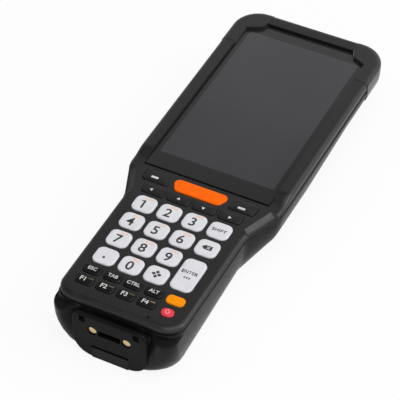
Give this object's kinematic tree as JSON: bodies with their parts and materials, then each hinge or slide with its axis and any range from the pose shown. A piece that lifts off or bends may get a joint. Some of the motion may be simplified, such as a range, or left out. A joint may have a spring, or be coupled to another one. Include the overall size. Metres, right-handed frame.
{
  "type": "handheld barcode data terminal",
  "caption": "Rugged handheld data terminal with a tall display head, corner bumpers, a waisted keypad grip, side controls, a latched battery cover and a dock end with charging contacts.",
  "frame": {"origin": "centre of the overall box at its base, which is the flat back the terminal lies on", "axes": "+X to the right seen from the keypad side, +Y along the body from the dock end to the head end, +Z out of the screen"},
  "size_m": [0.0702, 0.1926, 0.0271],
  "materials": {
    "front_shell": "fine grain",
    "rear_shell": "fine grain",
    "bumper": "smooth",
    "head_cap": "smooth",
    "scan_window": "smooth",
    "engine": "smooth",
    "display_glass": "polished",
    "gasket": "smooth",
    "display_module": "smooth",
    "metal_frame": "satin",
    "mat": "smooth",
    "board": "solder mask",
    "battery": "film",
    "latch": "smooth",
    "spring": "plain",
    "contact": "gilt",
    "dock_bezel": "smooth",
    "connector": "smooth",
    "side_control": "smooth",
    "speaker": "smooth",
    "camera": "polished",
    "screw": "plain",
    "key_white": "silk",
    "key_dark": "silk",
    "key_orange": "silk",
    "key_amber": "silk",
    "key_red": "silk"
  },
  "bodies": {
    "terminal": {"front_housing": "front_shell", "rear_housing": "rear_shell", "corner_bumper_left": "bumper", "corner_bumper_right": "bumper", "head_cap": "head_cap", "scan_window": "scan_window", "scan_engine": "engine", "display_glass": "display_glass", "display_gasket": "gasket", "display_module": "display_module", "inner_frame": "metal_frame", "keypad_mat": "mat", "key_board": "board", "main_board": "board", "housing_seal": "gasket", "battery_pack": "battery", "battery_cover": "rear_shell", "latch_spring": "spring", "battery_contacts": "contact", "dock_bezel": "dock_bezel", "dock_contacts": "contact", "dock_connector": "connector", "speaker": "speaker", "camera_module": "camera", "housing_screws": "screw"},
    "key_1": {"key_1": "key_white"},
    "key_2": {"key_2": "key_white"},
    "key_3": {"key_3": "key_white"},
    "key_4": {"key_4": "key_white"},
    "key_5": {"key_5": "key_white"},
    "key_6": {"key_6": "key_white"},
    "key_7": {"key_7": "key_white"},
    "key_8": {"key_8": "key_white"},
    "key_9": {"key_9": "key_white"},
    "key_point": {"key_point": "key_white"},
    "key_0": {"key_0": "key_white"},
    "key_mode": {"key_mode": "key_white"},
    "key_shift": {"key_shift": "key_white"},
    "key_delete": {"key_delete": "key_white"},
    "key_enter": {"key_enter": "key_white"},
    "scan_key": {"scan_key": "key_orange"},
    "soft_key_left": {"soft_key_left": "key_dark"},
    "soft_key_right": {"soft_key_right": "key_dark"},
    "arrow_key_left": {"arrow_key_left": "key_dark"},
    "arrow_key_up": {"arrow_key_up": "key_dark"},
    "arrow_key_down": {"arrow_key_down": "key_dark"},
    "arrow_key_right": {"arrow_key_right": "key_dark"},
    "key_esc": {"key_esc": "key_dark"},
    "key_tab": {"key_tab": "key_dark"},
    "key_ctrl": {"key_ctrl": "key_dark"},
    "key_alt": {"key_alt": "key_dark"},
    "key_f1": {"key_f1": "key_dark"},
    "key_f2": {"key_f2": "key_dark"},
    "key_f3": {"key_f3": "key_dark"},
    "key_f4": {"key_f4": "key_dark"},
    "fn_key": {"fn_key": "key_amber"},
    "power_key": {"power_key": "key_red"},
    "side_trigger": {"side_trigger": "side_control"},
    "volume_rocker": {"volume_rocker": "side_control"},
    "battery_latch": {"battery_latch": "latch"}
  },
  "joints": [
    {"name": "side_trigger_press", "type": "slide", "parent": "terminal", "child": "side_trigger", "axis": [1, 0, 0], "range_m": [0, 0.0007], "stiffness_N_per_m": 800, "springref_m": -0.0005},
    {"name": "volume_rocker_tilt", "type": "hinge", "parent": "terminal", "child": "volume_rocker", "pos_m": [-0.0306, 0.0575, 0.0179], "axis": [0, 0, 1], "range_deg": [-2.5, 2.5], "stiffness_Nm_per_rad": 0.1},
    {"name": "battery_latch_slide", "type": "slide", "parent": "terminal", "child": "battery_latch", "axis": [0, 1, 0], "range_m": [0, 0.0028], "stiffness_N_per_m": 400, "springref_m": -0.001, "deforming": ["latch_spring"]},
    {"name": "scan_key_press", "type": "slide", "parent": "terminal", "child": "scan_key", "axis": [0, 0, -1], "range_m": [0, 0.0007], "stiffness_N_per_m": 800, "springref_m": -0.0005},
    {"name": "soft_key_left_press", "type": "slide", "parent": "terminal", "child": "soft_key_left", "axis": [0, 0, -1], "range_m": [0, 0.0007], "stiffness_N_per_m": 800, "springref_m": -0.0005},
    {"name": "soft_key_right_press", "type": "slide", "parent": "terminal", "child": "soft_key_right", "axis": [0, 0, -1], "range_m": [0, 0.0007], "stiffness_N_per_m": 800, "springref_m": -0.0005},
    {"name": "arrow_key_left_press", "type": "slide", "parent": "terminal", "child": "arrow_key_left", "axis": [0, 0, -1], "range_m": [0, 0.0007], "stiffness_N_per_m": 800, "springref_m": -0.0005},
    {"name": "arrow_key_up_press", "type": "slide", "parent": "terminal", "child": "arrow_key_up", "axis": [0, 0, -1], "range_m": [0, 0.0007], "stiffness_N_per_m": 800, "springref_m": -0.0005},
    {"name": "arrow_key_down_press", "type": "slide", "parent": "terminal", "child": "arrow_key_down", "axis": [0, 0, -1], "range_m": [0, 0.0007], "stiffness_N_per_m": 800, "springref_m": -0.0005},
    {"name": "arrow_key_right_press", "type": "slide", "parent": "terminal", "child": "arrow_key_right", "axis": [0, 0, -1], "range_m": [0, 0.0007], "stiffness_N_per_m": 800, "springref_m": -0.0005},
    {"name": "key_enter_press", "type": "slide", "parent": "terminal", "child": "key_enter", "axis": [0, 0, -1], "range_m": [0, 0.0007], "stiffness_N_per_m": 800, "springref_m": -0.0005},
    {"name": "fn_key_press", "type": "slide", "parent": "terminal", "child": "fn_key", "axis": [0, 0, -1], "range_m": [0, 0.0007], "stiffness_N_per_m": 800, "springref_m": -0.0005},
    {"name": "power_key_press", "type": "slide", "parent": "terminal", "child": "power_key", "axis": [0, 0, -1], "range_m": [0, 0.0007], "stiffness_N_per_m": 800, "springref_m": -0.0005},
    {"name": "key_1_press", "type": "slide", "parent": "terminal", "child": "key_1", "axis": [0, 0, -1], "range_m": [0, 0.0007], "stiffness_N_per_m": 800, "springref_m": -0.0005},
    {"name": "key_2_press", "type": "slide", "parent": "terminal", "child": "key_2", "axis": [0, 0, -1], "range_m": [0, 0.0007], "stiffness_N_per_m": 800, "springref_m": -0.0005},
    {"name": "key_3_press", "type": "slide", "parent": "terminal", "child": "key_3", "axis": [0, 0, -1], "range_m": [0, 0.0007], "stiffness_N_per_m": 800, "springref_m": -0.0005},
    {"name": "key_4_press", "type": "slide", "parent": "terminal", "child": "key_4", "axis": [0, 0, -1], "range_m": [0, 0.0007], "stiffness_N_per_m": 800, "springref_m": -0.0005},
    {"name": "key_5_press", "type": "slide", "parent": "terminal", "child": "key_5", "axis": [0, 0, -1], "range_m": [0, 0.0007], "stiffness_N_per_m": 800, "springref_m": -0.0005},
    {"name": "key_6_press", "type": "slide", "parent": "terminal", "child": "key_6", "axis": [0, 0, -1], "range_m": [0, 0.0007], "stiffness_N_per_m": 800, "springref_m": -0.0005},
    {"name": "key_7_press", "type": "slide", "parent": "terminal", "child": "key_7", "axis": [0, 0, -1], "range_m": [0, 0.0007], "stiffness_N_per_m": 800, "springref_m": -0.0005},
    {"name": "key_8_press", "type": "slide", "parent": "terminal", "child": "key_8", "axis": [0, 0, -1], "range_m": [0, 0.0007], "stiffness_N_per_m": 800, "springref_m": -0.0005},
    {"name": "key_9_press", "type": "slide", "parent": "terminal", "child": "key_9", "axis": [0, 0, -1], "range_m": [0, 0.0007], "stiffness_N_per_m": 800, "springref_m": -0.0005},
    {"name": "key_point_press", "type": "slide", "parent": "terminal", "child": "key_point", "axis": [0, 0, -1], "range_m": [0, 0.0007], "stiffness_N_per_m": 800, "springref_m": -0.0005},
    {"name": "key_0_press", "type": "slide", "parent": "terminal", "child": "key_0", "axis": [0, 0, -1], "range_m": [0, 0.0007], "stiffness_N_per_m": 800, "springref_m": -0.0005},
    {"name": "key_mode_press", "type": "slide", "parent": "terminal", "child": "key_mode", "axis": [0, 0, -1], "range_m": [0, 0.0007], "stiffness_N_per_m": 800, "springref_m": -0.0005},
    {"name": "key_shift_press", "type": "slide", "parent": "terminal", "child": "key_shift", "axis": [0, 0, -1], "range_m": [0, 0.0007], "stiffness_N_per_m": 800, "springref_m": -0.0005},
    {"name": "key_delete_press", "type": "slide", "parent": "terminal", "child": "key_delete", "axis": [0, 0, -1], "range_m": [0, 0.0007], "stiffness_N_per_m": 800, "springref_m": -0.0005},
    {"name": "key_esc_press", "type": "slide", "parent": "terminal", "child": "key_esc", "axis": [0, 0, -1], "range_m": [0, 0.0007], "stiffness_N_per_m": 800, "springref_m": -0.0005},
    {"name": "key_tab_press", "type": "slide", "parent": "terminal", "child": "key_tab", "axis": [0, 0, -1], "range_m": [0, 0.0007], "stiffness_N_per_m": 800, "springref_m": -0.0005},
    {"name": "key_ctrl_press", "type": "slide", "parent": "terminal", "child": "key_ctrl", "axis": [0, 0, -1], "range_m": [0, 0.0007], "stiffness_N_per_m": 800, "springref_m": -0.0005},
    {"name": "key_alt_press", "type": "slide", "parent": "terminal", "child": "key_alt", "axis": [0, 0, -1], "range_m": [0, 0.0007], "stiffness_N_per_m": 800, "springref_m": -0.0005},
    {"name": "key_f1_press", "type": "slide", "parent": "terminal", "child": "key_f1", "axis": [0, 0, -1], "range_m": [0, 0.0007], "stiffness_N_per_m": 800, "springref_m": -0.0005},
    {"name": "key_f2_press", "type": "slide", "parent": "terminal", "child": "key_f2", "axis": [0, 0, -1], "range_m": [0, 0.0007], "stiffness_N_per_m": 800, "springref_m": -0.0005},
    {"name": "key_f3_press", "type": "slide", "parent": "terminal", "child": "key_f3", "axis": [0, 0, -1], "range_m": [0, 0.0007], "stiffness_N_per_m": 800, "springref_m": -0.0005},
    {"name": "key_f4_press", "type": "slide", "parent": "terminal", "child": "key_f4", "axis": [0, 0, -1], "range_m": [0, 0.0007], "stiffness_N_per_m": 800, "springref_m": -0.0005}
  ]
}
